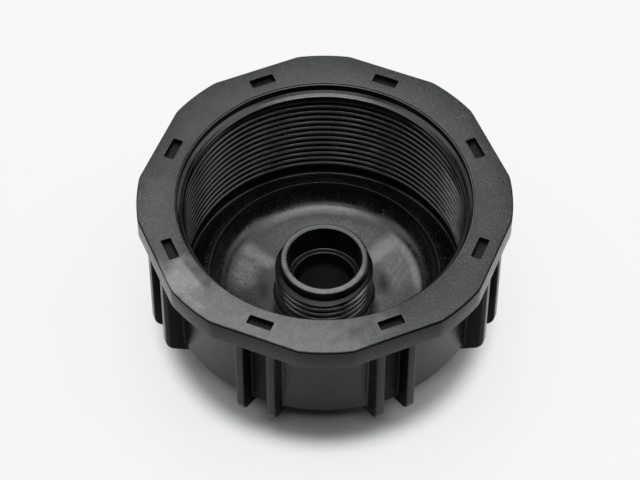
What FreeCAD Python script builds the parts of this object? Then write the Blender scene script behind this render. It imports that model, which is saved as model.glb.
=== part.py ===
import FreeCAD, Part
import math
import os

# A ribbed plastic connector: a large female threaded collar with a bowl-like floor and a small male
# spigot standing in the middle of it. All lengths in millimetres. The origin is the centre of the
# foot, +Z points out of the large mouth, and -Y is the side that faces the viewer.

# Bore that carries the large female thread, and the barrel round it
thread_bore_radius = 37.58
barrel_wall = 5.97
barrel_draft = 0.35
barrel_end_height = 9.0
barrel_end_fillet = 1.5

# Flange round the mouth
flange_reach = 6.1
flat_depth = 1.52
flange_count = 8
flange_thickness = 7.25
flange_corner_fillet = 6.0
flange_edge_chamfer = 0.3

# Pockets in the top of the flange, one behind each flat
pocket_inset = 4.53
pocket_length = 6.83
pocket_width = 2.87
pocket_depth = 1.65

# Mouth
mouth_height = 45.5
mouth_chamfer = 0.35
counterbore_step = 1.87
counterbore_depth = 2.35
lead_depth = 0.9

# Undercut below the thread, then the seat, a shallow cone that rises inward to a ring
relief_step = 0.6
relief_length = 4.8
seat_height = 7.95
seat_width = 4.73
seat_slope = 37.0
seat_lip_width = 2.0
seat_lip_slope = 17.0
seat_lip_chamfer = 0.45

# Dish between the seat and the spigot
floor_height = 3.5
floor_slope = 8.0
dish_fillet = 5.75
spigot_foot_chamfer = 0.8

# Spigot that carries the small male thread
spigot_radius = 13.5
spigot_length = 15.15
spigot_lead_step = 1.5
spigot_lead_length = 3.4
spigot_lead_chamfer = 0.63
spigot_rim_width = 1.82
spigot_edge_chamfer = 0.25
spigot_bore_depth = 8.95
ledge_width = 1.73
ledge_chamfer = 0.3
recess_depth = 5.2
recess_draft = 0.3
recess_corner_chamfer = 0.8

# Underside
shell_thickness = 3.6
shoulder_slope = 30.0
dish_wall = 3.2
foot_margin = 4.5
foot_rim_width = 8.0
foot_floor_thickness = 2.6

# Ribs, one pair behind each flat
rib_offset = 4.31
rib_thickness = 2.34
rib_corner_fillet = 5.1
rib_slope = 33.0
rib_foot_inset = 14.58
rib_edge_chamfer = 0.4
rib_root_depth = 3.0

# Radii that follow from them
barrel_radius = thread_bore_radius + barrel_wall
flange_radius = barrel_radius + barrel_draft + flange_reach
flange_flat = flange_radius - flat_depth
counterbore_radius = thread_bore_radius + counterbore_step
relief_radius = thread_bore_radius + relief_step
seat_crown_radius = relief_radius - seat_width
seat_lip_radius = seat_crown_radius - seat_lip_width
spigot_lead_radius = spigot_radius - spigot_lead_step
spigot_bore_radius = spigot_lead_radius - spigot_rim_width
ledge_radius = spigot_bore_radius - ledge_width
foot_radius = spigot_radius + foot_margin
foot_recess_radius = foot_radius - foot_rim_width


def rise(run, degrees):
    """Height gained over a run at an angle."""
    return run * math.tan(math.radians(degrees))


# Heights that follow from them
flange_under = mouth_height - flange_thickness
counterbore_floor = mouth_height - counterbore_depth
lead_floor = counterbore_floor - lead_depth
thread_end_height = seat_height + relief_length
crown_height = seat_height + rise(seat_width, seat_slope)
lip_height = crown_height + rise(seat_lip_width, seat_lip_slope)
lip_floor = floor_height + rise(seat_lip_radius - spigot_radius, floor_slope)
spigot_height = floor_height + spigot_length
ledge_height = spigot_height - spigot_bore_depth
recess_floor = ledge_height - recess_depth
foot_recess_depth = recess_floor - foot_floor_thickness


def outline(corners):
    """Closed face in the XZ plane through (radius, height, end) corners.

    An end is None for a sharp corner, ("arc", radius) for a fillet, or ("flat", leg) for a chamfer.
    """
    points = [FreeCAD.Vector(r, 0, z) for r, z, _ in corners]
    count = len(points)
    spans = []
    for i, (_, _, end) in enumerate(corners):
        here = points[i]
        if end is None:
            spans.append((here, None, here))
            continue
        kind, size = end
        back = points[i - 1] - here
        ahead = points[(i + 1) % count] - here
        back.normalize()
        ahead.normalize()
        if kind == "flat":
            spans.append((here + back * size, None, here + ahead * size))
            continue
        half = back.getAngle(ahead) / 2
        run = size / math.tan(half)
        middle = back + ahead
        middle.normalize()
        centre = here + middle * (size / math.sin(half))
        spans.append((here + back * run, centre - middle * size, here + ahead * run))
    edges = []
    for i in range(count):
        start, middle, end = spans[i]
        if middle is not None:
            edges.append(Part.Arc(start, middle, end).toShape())
        elif start.distanceToPoint(end) > 1e-6:
            edges.append(Part.LineSegment(start, end).toShape())
        following = spans[(i + 1) % count][0]
        if end.distanceToPoint(following) > 1e-6:
            edges.append(Part.LineSegment(end, following).toShape())
    return Part.Face(Part.Wire(edges))


def revolved(corners):
    """Solid of revolution about the axis of the part."""
    centre = FreeCAD.Vector(0, 0, 0)
    return outline(corners).revolve(centre, FreeCAD.Vector(0, 0, 1), 360)


def turned(shape, index):
    """Copy of a shape turned to one of the flats."""
    copy = shape.copy()
    pitch = 360.0 / flange_count
    copy.rotate(FreeCAD.Vector(0, 0, 0), FreeCAD.Vector(0, 0, 1), (index + 0.5) * pitch)
    return copy


def upright_edges(shape):
    """Straight edges of a shape that run along Z."""
    found = []
    for edge in shape.Edges:
        if len(edge.Vertexes) != 2:
            continue
        way = edge.Vertexes[1].Point - edge.Vertexes[0].Point
        if abs(way.z) > 0.999 * edge.Length:
            found.append(edge)
    return found


def level_edges(shape, height):
    """Edges of a shape that lie at one height."""
    low = [e for e in shape.Edges if abs(e.BoundBox.ZMin - height) < 1e-4]
    return [e for e in low if abs(e.BoundBox.ZMax - height) < 1e-4]


def make_flange():
    """Lobed flange: a disc cut back by flats, with softened corners and edges."""
    disc = Part.makeCylinder(flange_radius, flange_thickness, FreeCAD.Vector(0, 0, flange_under))
    reach = 2 * flange_radius
    block = Part.makeBox(reach, reach, flange_thickness,
                         FreeCAD.Vector(flange_flat, -reach / 2, flange_under))
    for index in range(flange_count):
        disc = disc.cut(turned(block, index))
    disc = disc.makeFillet(flange_corner_fillet, upright_edges(disc))
    return disc.makeChamfer(flange_edge_chamfer, level_edges(disc, mouth_height))


def make_shell():
    """Solid outside of the barrel and the bowl below it, before the cavity is taken out."""
    inside_flange = mouth_height - flange_thickness / 2
    shoulder_height = seat_height - shell_thickness
    shoulder_run = (barrel_end_height - shoulder_height) / math.tan(math.radians(shoulder_slope))
    outer_radius = seat_lip_radius + dish_wall
    floor_under = floor_height - dish_wall / math.cos(math.radians(floor_slope))
    outer_low = floor_under + rise(outer_radius - spigot_radius, floor_slope)
    foot_top = floor_under + rise(foot_radius - spigot_radius, floor_slope)
    corners = [
        (0, inside_flange, None),
        (barrel_radius + barrel_draft, inside_flange, None),
        (barrel_radius + barrel_draft, flange_under, None),
        (barrel_radius, barrel_end_height, ("arc", barrel_end_fillet)),
        (barrel_radius - shoulder_run, shoulder_height, None),
        (outer_radius, shoulder_height, None),
        (outer_radius - (shoulder_height - outer_low), outer_low, None),
        (foot_radius, foot_top, None),
        (foot_radius, 0, None),
        (foot_recess_radius, 0, None),
        (foot_recess_radius, foot_recess_depth, None),
        (0, foot_recess_depth, None),
    ]
    return revolved(corners)


def make_cavity():
    """All that is hollow above the floor: mouth, thread bore, seat and the dish round the spigot."""
    over = mouth_height + flange_thickness
    turn = math.radians(90 - floor_slope)
    dish_limit = 0.85 * (lip_height - lip_floor) / math.tan(turn / 2)
    corners = [
        (spigot_bore_radius, over, None),
        (counterbore_radius + mouth_chamfer, over, None),
        (counterbore_radius + mouth_chamfer, mouth_height, None),
        (counterbore_radius, mouth_height - mouth_chamfer, None),
        (counterbore_radius, counterbore_floor, None),
        (thread_bore_radius, lead_floor, None),
        (thread_bore_radius, thread_end_height, None),
        (relief_radius, thread_end_height, None),
        (relief_radius, seat_height, None),
        (seat_crown_radius, crown_height, None),
        (seat_lip_radius, lip_height, ("flat", seat_lip_chamfer)),
        (seat_lip_radius, lip_floor, ("arc", min(dish_fillet, dish_limit))),
        (spigot_radius, floor_height, ("flat", spigot_foot_chamfer)),
        (spigot_radius, spigot_height - spigot_lead_length - spigot_lead_chamfer, None),
        (spigot_lead_radius, spigot_height - spigot_lead_length, None),
        (spigot_lead_radius, spigot_height, ("flat", spigot_edge_chamfer)),
        (spigot_bore_radius, spigot_height, None),
    ]
    return revolved(corners)


def make_spigot_bore():
    """Stepped blind bore down the middle of the spigot."""
    over = mouth_height + flange_thickness
    corners = [
        (0, over, None),
        (spigot_bore_radius + spigot_edge_chamfer, over, None),
        (spigot_bore_radius + spigot_edge_chamfer, spigot_height, None),
        (spigot_bore_radius, spigot_height - spigot_edge_chamfer, None),
        (spigot_bore_radius, ledge_height, None),
        (ledge_radius, ledge_height, ("flat", ledge_chamfer)),
        (ledge_radius - recess_draft, recess_floor, ("flat", recess_corner_chamfer)),
        (0, recess_floor, None),
    ]
    return revolved(corners)


def make_rib(side):
    """One rib beside a flat's centre line, from the flange down and under the bowl to the foot."""
    inside_flange = mouth_height - flange_thickness / 2
    lower_corner = rise(rib_foot_inset, rib_slope)
    foot_end = flange_flat - rib_foot_inset
    rib_root = foot_radius - rib_root_depth
    corners = [
        (rib_root, inside_flange, None),
        (flange_flat, inside_flange, None),
        (flange_flat, lower_corner, ("arc", rib_corner_fillet)),
        (foot_end, 0, None),
        (rib_root, 0, None),
    ]
    plate = outline(corners).extrude(FreeCAD.Vector(0, rib_thickness, 0))
    outer = []
    for edge in plate.Edges:
        box = edge.BoundBox
        if box.XMax > foot_end + 1e-3 and box.YLength < 1e-4 and box.ZMin < flange_under:
            outer.append(edge)
    plate = plate.makeChamfer(min(rib_edge_chamfer, 0.45 * rib_thickness), outer)
    plate.translate(FreeCAD.Vector(0, side * rib_offset - rib_thickness / 2, 0))
    return plate


def make_pocket():
    """Small rectangular pocket in the top of the flange."""
    middle = flange_flat - pocket_inset
    corner = FreeCAD.Vector(middle - pocket_width / 2, -pocket_length / 2, mouth_height - pocket_depth)
    return Part.makeBox(pocket_width, pocket_length, 2 * pocket_depth, corner)


def make_connector():
    """The whole moulding as one solid."""
    ribs = [turned(make_rib(side), i) for i in range(flange_count) for side in (-1, 1)]
    body = make_shell().fuse([make_flange()] + ribs)
    body = body.cut(make_cavity())
    body = body.cut(make_spigot_bore())
    body = body.cut([turned(make_pocket(), i) for i in range(flange_count)])
    return body.removeSplitter()


os.makedirs("parts", exist_ok=True)
connector = make_connector()
connector_body = connector.Solids[0] if len(connector.Solids) == 1 else connector
connector_body.exportStep("parts/connector_body.step")
box = connector_body.BoundBox
print("solids", len(connector_body.Solids), "valid", connector_body.isValid())
print("volume", round(connector_body.Volume, 1), "faces", len(connector_body.Faces))
print("radii", flange_radius, flange_flat, flange_flat - pocket_inset, seat_lip_radius, ledge_radius)
print("heights", thread_end_height, crown_height, lip_height, spigot_height, recess_floor)
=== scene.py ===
import logging
import math
from dataclasses import dataclass, field
from enum import Enum
from typing import Callable, Iterable, Mapping, Optional, Sequence, Union

import bmesh
import bpy
import numpy as np
from mathutils import Matrix, Vector


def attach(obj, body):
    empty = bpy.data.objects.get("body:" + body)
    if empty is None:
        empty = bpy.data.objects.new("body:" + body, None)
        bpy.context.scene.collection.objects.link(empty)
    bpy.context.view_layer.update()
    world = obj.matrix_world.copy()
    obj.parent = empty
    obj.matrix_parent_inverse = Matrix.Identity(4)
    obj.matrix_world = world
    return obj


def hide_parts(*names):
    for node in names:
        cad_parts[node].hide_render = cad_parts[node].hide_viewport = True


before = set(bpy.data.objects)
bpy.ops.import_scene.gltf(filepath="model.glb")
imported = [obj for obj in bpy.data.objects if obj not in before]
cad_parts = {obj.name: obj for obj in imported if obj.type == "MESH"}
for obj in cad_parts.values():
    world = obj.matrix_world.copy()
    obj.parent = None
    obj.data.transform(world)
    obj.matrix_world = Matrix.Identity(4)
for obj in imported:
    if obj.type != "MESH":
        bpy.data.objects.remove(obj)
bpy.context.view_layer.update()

MM = 0.001
TINY = 1e-6
NODE = "connector_body"
ZONE_ATTRIBUTE = "thread_zone"
LOG = logging.getLogger("threaded_connector")

Socket = bpy.types.NodeSocket
Value = Union[float, int, Socket]
Point = tuple[float, float]
Place = tuple[float, float, float]
Colour = tuple[float, float, float, float]


class ThreadSide(Enum):
    """Which side of a wall a thread is cut into."""

    INTERNAL = 1
    EXTERNAL = -1


class SocketKind(Enum):
    """The kinds of socket that the node groups have."""

    NUMBER = "NodeSocketFloat"
    COUNT = "NodeSocketInt"
    VECTOR = "NodeSocketVector"
    GEOMETRY = "NodeSocketGeometry"
    OBJECT = "NodeSocketObject"
    MATERIAL = "NodeSocketMaterial"


class TreeWriter:
    """Adds nodes to a shader or geometry tree with few words."""

    columns: int = 12
    column_width: int = 170
    row_height: int = 220

    def __init__(self, tree: bpy.types.NodeTree) -> None:
        """Keep the tree that is written to."""
        self.tree = tree
        self.count = 0

    def node(self, kind: str, **inputs: object) -> bpy.types.Node:
        """Add a node and feed its inputs.

        Args:
            kind: The node's type name.
            **inputs: Values or sockets, by input name with spaces written as underscores.

        Returns:
            The new node.
        """
        made = self.tree.nodes.new(kind)
        self.count += 1
        row, column = divmod(self.count, self.columns)
        made.location = (self.column_width * column, -self.row_height * row)
        self.feed_all(made, inputs)
        return made

    def feed(self, socket: Socket, value: object) -> None:
        """Link a socket to another one or set its value.

        Args:
            socket: The input to feed.
            value: A socket, or a plain value.
        """
        if isinstance(value, bpy.types.NodeSocket):
            self.tree.links.new(value, socket)
        else:
            socket.default_value = value

    def feed_all(self, made: bpy.types.Node, inputs: Mapping[str, object]) -> None:
        """Feed several inputs of a node.

        Args:
            made: The node.
            inputs: Values or sockets, by input name with spaces written as underscores.
        """
        for name, value in inputs.items():
            self.feed(made.inputs[name.replace("_", " ")], value)

    def group(self, tree: bpy.types.NodeTree, **inputs: object) -> bpy.types.NodeOutputs:
        """Place a shader node group.

        Args:
            tree: The group.
            **inputs: Values or sockets, by input name with spaces written as underscores.

        Returns:
            The group's outputs.
        """
        made = self.node("ShaderNodeGroup")
        made.node_tree = tree
        self.feed_all(made, inputs)
        return made.outputs

    def math(self, operation: str, *values: Value) -> Socket:
        """Add a Math node.

        Args:
            operation: The operation's name.
            *values: Its operands.

        Returns:
            The result's socket.
        """
        made = self.node("ShaderNodeMath")
        made.operation = operation
        for socket, value in zip(made.inputs, values):
            self.feed(socket, value)
        return made.outputs[0]

    def chain(self, operation: str, *values: Value) -> Socket:
        """Join several values by one operation.

        Args:
            operation: The operation's name.
            *values: The values, from the first to the last.

        Returns:
            The result's socket.
        """
        result = values[0]
        for value in values[1:]:
            result = self.math(operation, result, value)
        return result

    def times(self, *values: Value) -> Socket:
        """Product of the values."""
        return self.chain("MULTIPLY", *values)

    def plus(self, *values: Value) -> Socket:
        """Sum of the values."""
        return self.chain("ADD", *values)

    def most(self, *values: Value) -> Socket:
        """Greatest of the values."""
        return self.chain("MAXIMUM", *values)

    def minus(self, first: Value, second: Value) -> Socket:
        """Difference of two values."""
        return self.math("SUBTRACT", first, second)

    def over(self, first: Value, second: Value) -> Socket:
        """Quotient of two values."""
        return self.math("DIVIDE", first, second)

    def length(self, x: Value, y: Value) -> Socket:
        """Length of a flat vector."""
        return self.math("SQRT", self.plus(self.times(x, x), self.times(y, y)))

    def split(self, vector: Socket) -> list[Socket]:
        """The three parts of a vector."""
        return list(self.node("ShaderNodeSeparateXYZ", Vector=vector).outputs)

    def vector(self, x: Value, y: Value, z: Value) -> Socket:
        """A vector from its three parts."""
        return self.node("ShaderNodeCombineXYZ", X=x, Y=y, Z=z).outputs[0]

    def ramp(self, value: Value, low: Value, high: Value, start: Value = 0.0, end: Value = 1.0) -> Socket:
        """Map a value from one range to another with soft ends.

        Args:
            value: The value to map.
            low: Where the range starts.
            high: Where it ends.
            start: The result at low.
            end: The result at high.

        Returns:
            The result's socket.
        """
        made = self.node("ShaderNodeMapRange")
        made.interpolation_type = "SMOOTHSTEP"
        for socket, fed in zip(made.inputs, (value, low, high, start, end)):
            self.feed(socket, fed)
        return made.outputs[0]

    def between(self, value: Socket, low: float, high: float, soft: float) -> Socket:
        """A mask that is 1 where a value lies between two bounds.

        Args:
            value: The value.
            low: The lower bound.
            high: The upper bound.
            soft: How wide the mask's edges are.

        Returns:
            The mask's socket.
        """
        return self.times(self.ramp(value, low - soft, low), self.ramp(value, high, high - soft))

    def noise(self, place: Socket, scale: Value, detail: float, roughness: float) -> Socket:
        """Add a Noise Texture.

        Args:
            place: Where it is read.
            scale: How fine it is, per metre.
            detail: How many finer layers it has.
            roughness: How strong those are.

        Returns:
            The noise's socket.
        """
        made = self.node("ShaderNodeTexNoise", Vector=place, Scale=scale, Detail=detail, Roughness=roughness)
        return made.outputs[0]

    def tint(self, share: Value, first: object, second: object) -> Socket:
        """Mix two colours.

        Args:
            share: How much of the second colour there is.
            first: The first colour.
            second: The second colour.

        Returns:
            The mixed colour's socket.
        """
        made = self.node("ShaderNodeMix")
        made.data_type = "RGBA"
        # The sockets that the node uses for colours: its share, its two inputs and its output
        for index, fed in ((0, share), (6, first), (7, second)):
            self.feed(made.inputs[index], fed)
        return made.outputs[2]


Opened = tuple[TreeWriter, bpy.types.NodeOutputs, bpy.types.NodeInputs]


def open_group(name: str, kind: str, inputs: Mapping[str, Union[SocketKind, float, int]],
               outputs: Mapping[str, SocketKind]) -> Opened:
    """Start a node group with named sockets.

    Args:
        name: The group's name.
        kind: The tree's type name.
        inputs: For each input its kind, or the default of a plain number.
        outputs: For each output its kind.

    Returns:
        The writer, the sockets that the group is given and those that it gives back.
    """
    tree = bpy.data.node_groups.new(name, kind)
    for label, given in inputs.items():
        if isinstance(given, SocketKind):
            tree.interface.new_socket(label, in_out="INPUT", socket_type=given.value)
            continue
        number = SocketKind.COUNT if isinstance(given, int) else SocketKind.NUMBER
        tree.interface.new_socket(label, in_out="INPUT", socket_type=number.value).default_value = given
    for label, given in outputs.items():
        tree.interface.new_socket(label, in_out="OUTPUT", socket_type=given.value)
    writer = TreeWriter(tree)
    return writer, writer.node("NodeGroupInput").outputs, writer.node("NodeGroupOutput").inputs


@dataclass(frozen=True)
class Zone:
    """A stretch of the moulding between two radii and two heights, with soft edges.

    It is in metres in a material and in millimetres in a section. A bound that isn't given lies
    beyond the moulding.
    """

    inner: float = -0.001
    outer: float = 1.0
    low: float = -0.001
    high: float = 1.0
    radius_edge: float = 0.0003
    height_edge: float = 0.0003

    def holds(self, radius: float, height: float) -> bool:
        """Whether a point of a section lies in the zone."""
        return (self.low - TINY <= height <= self.high + TINY
                and self.inner - TINY <= radius <= self.outer + TINY)


@dataclass(frozen=True)
class Corner:
    """One corner of a turned section, in millimetres, with an optional rounding."""

    radius: float
    height: float
    rounding: float = 0.0
    steps: int = 5


@dataclass(frozen=True)
class BowlFloor:
    """The sloping floor of the bowl, on which the spigot stands, in millimetres and degrees."""

    height: float = 3.5
    slope: float = 8.0
    start: float = 13.5
    wall: float = 3.2

    def top(self, radius: float) -> float:
        """Height of the floor at a radius."""
        return self.height + (radius - self.start) * math.tan(math.radians(self.slope))

    def under(self, radius: float) -> float:
        """Height of the floor's underside at a radius."""
        return self.top(radius) - self.wall / math.cos(math.radians(self.slope))


def turned_section(corners: Sequence[Corner]) -> list[Point]:
    """Points of a section with its corners rounded.

    Args:
        corners: The section's corners in order. The ends are never rounded.

    Returns:
        Radius and height of each point, in millimetres.
    """
    spots = [Vector((corner.radius, corner.height)) for corner in corners]
    points: list[Point] = []
    for i, (corner, here) in enumerate(zip(corners, spots)):
        if corner.rounding <= 0 or i in (0, len(corners) - 1):
            points.append((here.x, here.y))
            continue
        back = (spots[i - 1] - here).normalized()
        ahead = (spots[i + 1] - here).normalized()
        half = back.angle(ahead) / 2
        centre = here + (back + ahead).normalized() * (corner.rounding / math.sin(half))
        run = corner.rounding / math.tan(half)
        first, last = here + back * run - centre, here + ahead * run - centre
        turn = first.angle_signed(last)
        for k in range(corner.steps + 1):
            spoke = Matrix.Rotation(-turn * k / corner.steps, 2) @ first
            points.append((centre.x + spoke.x, centre.y + spoke.y))
    return points


def divided(points: Sequence[Point], wall: Zone, step: float) -> tuple[list[Point], list[bool]]:
    """Divide a section's steep runs finely where a thread is cut.

    Args:
        points: The section, in millimetres.
        wall: The threaded wall, in millimetres.
        step: Largest spacing of the points there.

    Returns:
        The new section, and for each point whether the thread may move it.
    """
    out: list[Point] = []
    marks: list[bool] = []
    for point, following in zip(points, [*points[1:], None]):
        out.append(point)
        marks.append(wall.holds(*point))
        if following and wall.holds(*point) and wall.holds(*following):
            count = math.ceil(abs(following[1] - point[1]) / step)
            for k in range(1, count):
                share = k / count
                out.append((point[0] + (following[0] - point[0]) * share,
                            point[1] + (following[1] - point[1]) * share))
                marks.append(True)
    return out, marks


def link(name: str, data: bpy.types.ID) -> bpy.types.Object:
    """Add an object to the scene.

    Args:
        name: Its name.
        data: Its mesh, light or camera.

    Returns:
        The object.
    """
    made = bpy.data.objects.new(name, data)
    bpy.context.scene.collection.objects.link(made)
    return made


def lathe(name: str, section: Sequence[Point], marks: Sequence[bool], angles: np.ndarray,
          reach: Optional[Callable[[float, float], float]] = None) -> bpy.types.Object:
    """Turn a section about the Z axis into a closed mesh.

    Args:
        name: The object's name.
        section: Radius and height of each point, in millimetres. Both ends lie on the axis.
        marks: For each point whether a thread may move it.
        angles: The angles of the mesh's columns.
        reach: Changes a radius at an angle, or None for a plain turned form.

    Returns:
        The new object.
    """
    columns = len(angles)
    inner = section[1:-1]
    vertices = [(0.0, 0.0, section[0][1] * MM)]
    for radius, height in inner:
        for angle in angles:
            r = reach(radius, float(angle)) if reach else radius
            vertices.append((r * MM * math.cos(angle), r * MM * math.sin(angle), height * MM))
    vertices.append((0.0, 0.0, section[-1][1] * MM))
    faces: list[tuple[int, ...]] = []
    last, top = len(vertices) - 1, 1 + (len(inner) - 1) * columns
    for c in range(columns):
        d = (c + 1) % columns
        faces.append((0, 1 + d, 1 + c))
        for row in range(len(inner) - 1):
            a, b = 1 + row * columns, 1 + (row + 1) * columns
            faces.append((a + c, a + d, b + d, b + c))
        faces.append((last, top + c, top + d))
    mesh = bpy.data.meshes.new(name)
    mesh.from_pydata(vertices, [], faces)
    flags = [0.0] + [float(mark) for mark in marks[1:-1] for _ in range(columns)] + [0.0]
    mesh.attributes.new(ZONE_ATTRIBUTE, "FLOAT", "POINT").data.foreach_set("value", flags)
    mesh.update()
    return link(name, mesh)


def prism(work: bmesh.types.BMesh, ends: Sequence[Sequence[Place]]) -> list[list[bmesh.types.BMVert]]:
    """Add a closed prism between two outlines.

    Args:
        work: The mesh under construction.
        ends: The two outlines, with their points in the same order.

    Returns:
        The vertices of each outline.
    """
    first, second = rows = [[work.verts.new(point) for point in end] for end in ends]
    work.faces.new(first)
    work.faces.new(second[::-1])
    count = len(first)
    for i in range(count):
        k = (i + 1) % count
        work.faces.new((first[i], second[i], second[k], first[k]))
    return rows


def plain_mesh(name: str, work: bmesh.types.BMesh) -> bpy.types.Mesh:
    """Turn work into a mesh.

    Args:
        name: The mesh's name.
        work: The mesh under construction, which ends here.

    Returns:
        The mesh.
    """
    mesh = bpy.data.meshes.new(name)
    work.to_mesh(mesh)
    work.free()
    return mesh


def outward(mesh: bpy.types.Mesh) -> None:
    """Make a closed mesh's faces point outwards.

    Args:
        mesh: The mesh to mend.
    """
    work = bmesh.new()
    work.from_mesh(mesh)
    bmesh.ops.recalc_face_normals(work, faces=work.faces)
    if work.calc_volume(signed=True) < 0:
        bmesh.ops.reverse_faces(work, faces=work.faces)
    work.to_mesh(mesh)
    work.free()


def soften(mesh: bpy.types.Mesh, degrees: float, wall: Optional[Zone] = None) -> None:
    """Shade a mesh smooth, apart from its sharp edges.

    Args:
        mesh: The mesh to shade.
        degrees: Edges that turn by more than this stay sharp.
        wall: The threaded wall, in metres, which has no sharp edges.
    """
    mesh.polygons.foreach_set("use_smooth", [True] * len(mesh.polygons))
    mesh.set_sharp_from_angle(angle=math.radians(degrees))
    sharp = mesh.attributes.get("sharp_edge")
    if wall and sharp:
        points = np.empty(len(mesh.vertices) * 3)
        mesh.vertices.foreach_get("co", points)
        x, y, z = points.reshape(-1, 3).T
        radius = np.hypot(x, y)
        inside = (radius > wall.inner) & (radius < wall.outer) & (z > wall.low) & (z < wall.high)
        ends = np.empty(len(mesh.edges) * 2, dtype=np.int32)
        mesh.edges.foreach_get("vertices", ends)
        kept = np.empty(len(mesh.edges), dtype=bool)
        sharp.data.foreach_get("value", kept)
        sharp.data.foreach_set("value", kept & ~inside[ends.reshape(-1, 2)].all(axis=1))
    mesh.update()


def bake_nodes(piece: bpy.types.Object, tree: bpy.types.NodeTree, **settings: object) -> None:
    """Run a geometry node tree on a piece and keep the result as its plain mesh.

    Args:
        piece: The object.
        tree: The geometry node tree.
        **settings: Values of the tree's inputs, by name with spaces written as underscores.
    """
    modifier = piece.modifiers.new(tree.name, "NODES")
    modifier.node_group = tree
    wanted = {key.replace("_", " "): value for key, value in settings.items()}
    for item in tree.interface.items_tree:
        if item.item_type == "SOCKET" and item.in_out == "INPUT" and item.name in wanted:
            modifier[item.identifier] = wanted[item.name]
    view = bpy.context.evaluated_depsgraph_get()
    result = bpy.data.meshes.new_from_object(piece.evaluated_get(view), depsgraph=view)
    piece.modifiers.remove(modifier)
    old = piece.data
    piece.data = result
    result.name = piece.name
    bpy.data.meshes.remove(old)


def close_tree(writer: TreeWriter, shape: Socket, material: Socket, result: Socket) -> bpy.types.NodeTree:
    """End a geometry tree with Realize Instances and Set Material.

    Args:
        writer: The tree's writer.
        shape: The geometry that it gives back.
        material: The material's socket.
        result: The tree's geometry output.

    Returns:
        The tree.
    """
    real = writer.node("GeometryNodeRealizeInstances", Geometry=shape)
    coated = writer.node("GeometryNodeSetMaterial", Geometry=real.outputs[0], Material=material)
    writer.feed(result, coated.outputs[0])
    return writer.tree


def thread_tree() -> bpy.types.NodeTree:
    """Geometry nodes that cut a right-hand helical groove into a wall.

    Returns:
        The tree.
    """
    writer, given, result = open_group("ThreadTurns", "GeometryNodeTree", {
        "Geometry": SocketKind.GEOMETRY, "Side": 1.0, "Pitch": 0.0022, "Groove Height": 0.0,
        "Crest Radius": 0.01, "Depth": 0.001, "Root Share": 0.15, "Crest Share": 0.2, "Top Turn": 10.0,
        "Bottom Turn": 0.0, "Top Fade": 0.1, "Bottom Fade": 0.6, "Material": SocketKind.MATERIAL,
    }, {"Geometry": SocketKind.GEOMETRY})
    x, y, z = writer.split(writer.node("GeometryNodeInputPosition").outputs[0])
    radius = writer.length(x, y)
    turn = writer.over(writer.math("ARCTAN2", y, x), math.tau)
    climb = writer.over(writer.minus(z, given["Groove Height"]), given["Pitch"])
    phase = writer.minus(climb, turn)
    nearest = writer.math("ROUND", phase)
    away = writer.times(writer.math("ABSOLUTE", writer.minus(phase, nearest)), 2.0)
    groove = writer.ramp(away, given["Root Share"], writer.minus(1.0, given["Crest Share"]), 1.0, 0.0)
    along = writer.plus(turn, nearest)
    top = writer.ramp(along, writer.minus(given["Top Turn"], given["Top Fade"]), given["Top Turn"], 1.0, 0.0)
    low = writer.ramp(along, given["Bottom Turn"], writer.plus(given["Bottom Turn"], given["Bottom Fade"]))
    depth = writer.times(groove, given["Depth"], writer.times(top, low))
    level = writer.plus(writer.times(given["Side"], given["Crest Radius"]), depth)
    reach = writer.times(given["Side"], writer.most(writer.times(given["Side"], radius), level))
    stretch = writer.over(reach, writer.most(radius, TINY))
    moved = writer.vector(writer.times(x, stretch), writer.times(y, stretch), z)
    marked = writer.node("GeometryNodeInputNamedAttribute", Name=ZONE_ATTRIBUTE).outputs["Attribute"]
    chosen = writer.node("FunctionNodeCompare", A=marked, B=0.5)
    chosen.operation = "GREATER_THAN"
    placed = writer.node("GeometryNodeSetPosition", Geometry=given["Geometry"],
                         Selection=chosen.outputs[0], Position=moved)
    return close_tree(writer, placed.outputs[0], given["Material"], result["Geometry"])


def around_points(writer: TreeWriter, count: Socket, shape: Socket) -> Socket:
    """Copies of a shape turned about the Z axis, one half step off the X axis.

    Args:
        writer: The tree's writer.
        count: How many copies there are.
        shape: The geometry that is copied.

    Returns:
        The realized copies.
    """
    points = writer.node("GeometryNodePoints", Count=count)
    index = writer.node("GeometryNodeInputIndex").outputs[0]
    turn = writer.vector(0.0, 0.0, writer.over(writer.times(writer.plus(index, 0.5), math.tau), count))
    copies = writer.node("GeometryNodeInstanceOnPoints", Points=points.outputs[0], Instance=shape,
                         Rotation=turn)
    return writer.node("GeometryNodeRealizeInstances", Geometry=copies.outputs[0]).outputs[0]


def ring_tree() -> bpy.types.NodeTree:
    """Geometry nodes that repeat a shape round the axis.

    Returns:
        The tree.
    """
    writer, given, result = open_group("RingOfCopies", "GeometryNodeTree", {
        "Geometry": SocketKind.GEOMETRY, "Count": 8, "Material": SocketKind.MATERIAL,
    }, {"Geometry": SocketKind.GEOMETRY})
    ring = around_points(writer, given["Count"], given["Geometry"])
    return close_tree(writer, ring, given["Material"], result["Geometry"])


def pocket_tree() -> bpy.types.NodeTree:
    """Geometry nodes that cut a ring of pockets out of a solid.

    Returns:
        The tree.
    """
    writer, given, result = open_group("RingOfPockets", "GeometryNodeTree", {
        "Geometry": SocketKind.GEOMETRY, "Cutter": SocketKind.OBJECT, "Count": 8,
        "Material": SocketKind.MATERIAL,
    }, {"Geometry": SocketKind.GEOMETRY})
    cutter = writer.node("GeometryNodeObjectInfo", Object=given["Cutter"])
    ring = around_points(writer, given["Count"], cutter.outputs["Geometry"])
    cut = writer.node("GeometryNodeMeshBoolean")
    cut.operation = "DIFFERENCE"
    cut.solver = "MANIFOLD"
    writer.feed(cut.inputs[0], given["Geometry"])
    writer.feed(cut.inputs[1], ring)
    return close_tree(writer, cut.outputs[0], given["Material"], result["Geometry"])


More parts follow.
